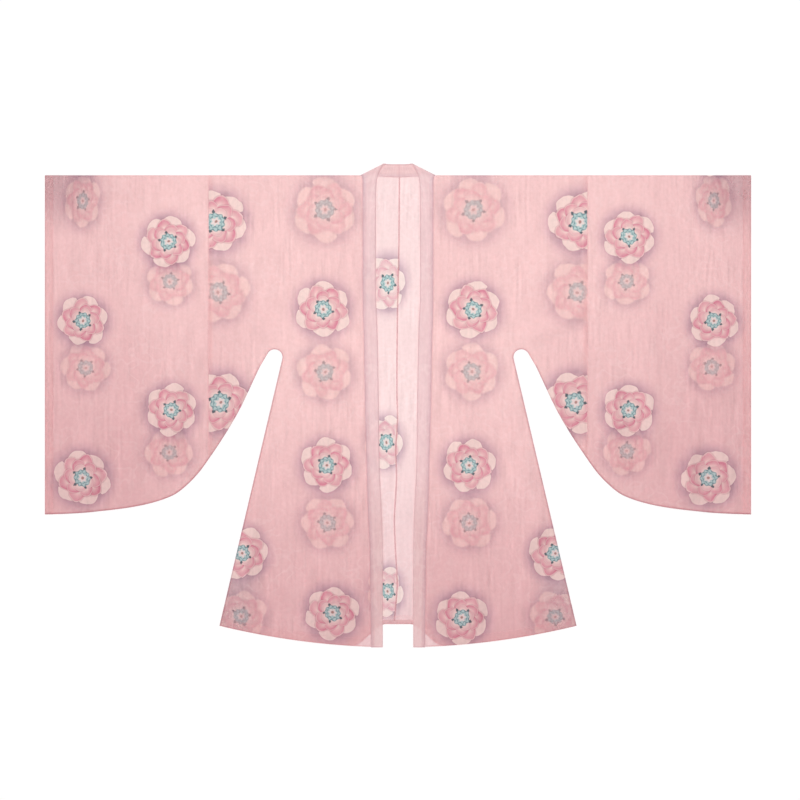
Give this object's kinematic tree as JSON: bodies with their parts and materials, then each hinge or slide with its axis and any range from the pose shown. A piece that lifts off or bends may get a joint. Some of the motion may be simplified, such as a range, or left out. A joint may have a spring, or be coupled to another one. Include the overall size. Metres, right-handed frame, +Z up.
{
  "type": "hanfu robe laid flat",
  "caption": "Open-front hanfu robe with wide sleeves and a straight band collar, laid out flat with its front up.",
  "frame": {"origin": "middle of the robe's outline, on the surface that it lies on", "axes": "+X towards the wearer's left cuff, +Y towards the neck, +Z up out of the front"},
  "size_m": [1.8, 1.2339, 0.005],
  "materials": {
    "printed_chiffon": "sheer printed chiffon, matt",
    "band_chiffon": "doubled pale chiffon, matt"
  },
  "bodies": {
    "root": {"body_right": "printed_chiffon", "body_left": "printed_chiffon", "sleeve_right": "printed_chiffon", "sleeve_left": "printed_chiffon", "collar_right": "band_chiffon", "collar_left": "band_chiffon"}
  },
  "joints": []
}
